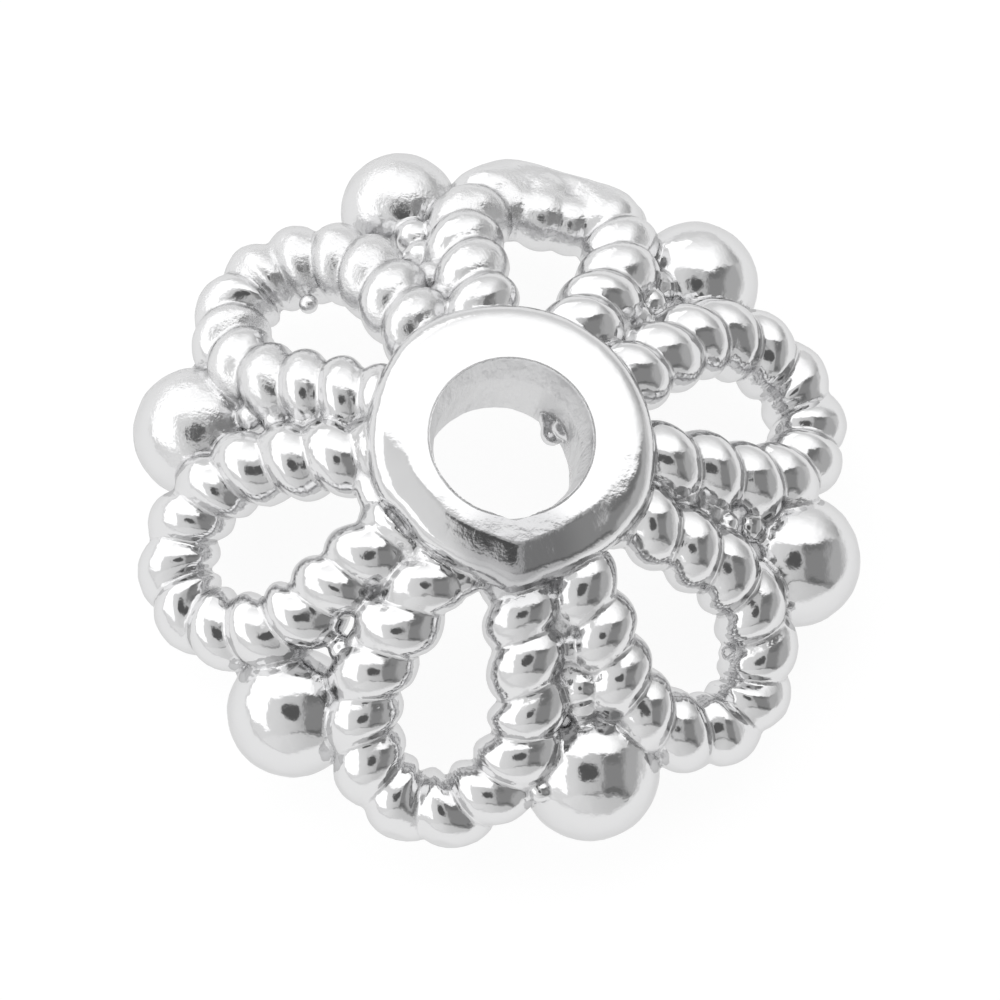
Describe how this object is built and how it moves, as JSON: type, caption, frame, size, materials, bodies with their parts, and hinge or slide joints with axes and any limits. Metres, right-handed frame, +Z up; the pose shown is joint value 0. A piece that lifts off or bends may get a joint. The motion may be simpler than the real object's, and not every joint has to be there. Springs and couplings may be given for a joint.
{
  "type": "bead cap",
  "caption": "Round openwork bead cap: a shallow dome of twisted-rope loops round a drilled hub, standing on small rim balls, cast in one piece and plated bright silver.",
  "frame": {"origin": "centre of the cap on the plane that its rim balls stand on", "axes": "+Z up along the thread hole and out of the hub's outer face; -Y towards the loop that is nearest in the picture; +X to the right from there"},
  "size_m": [0.0101, 0.0098, 0.0035],
  "materials": {
    "plated_metal": "bright silver plating over a casting"
  },
  "bodies": {
    "root": {"cap": "plated_metal"}
  },
  "joints": []
}
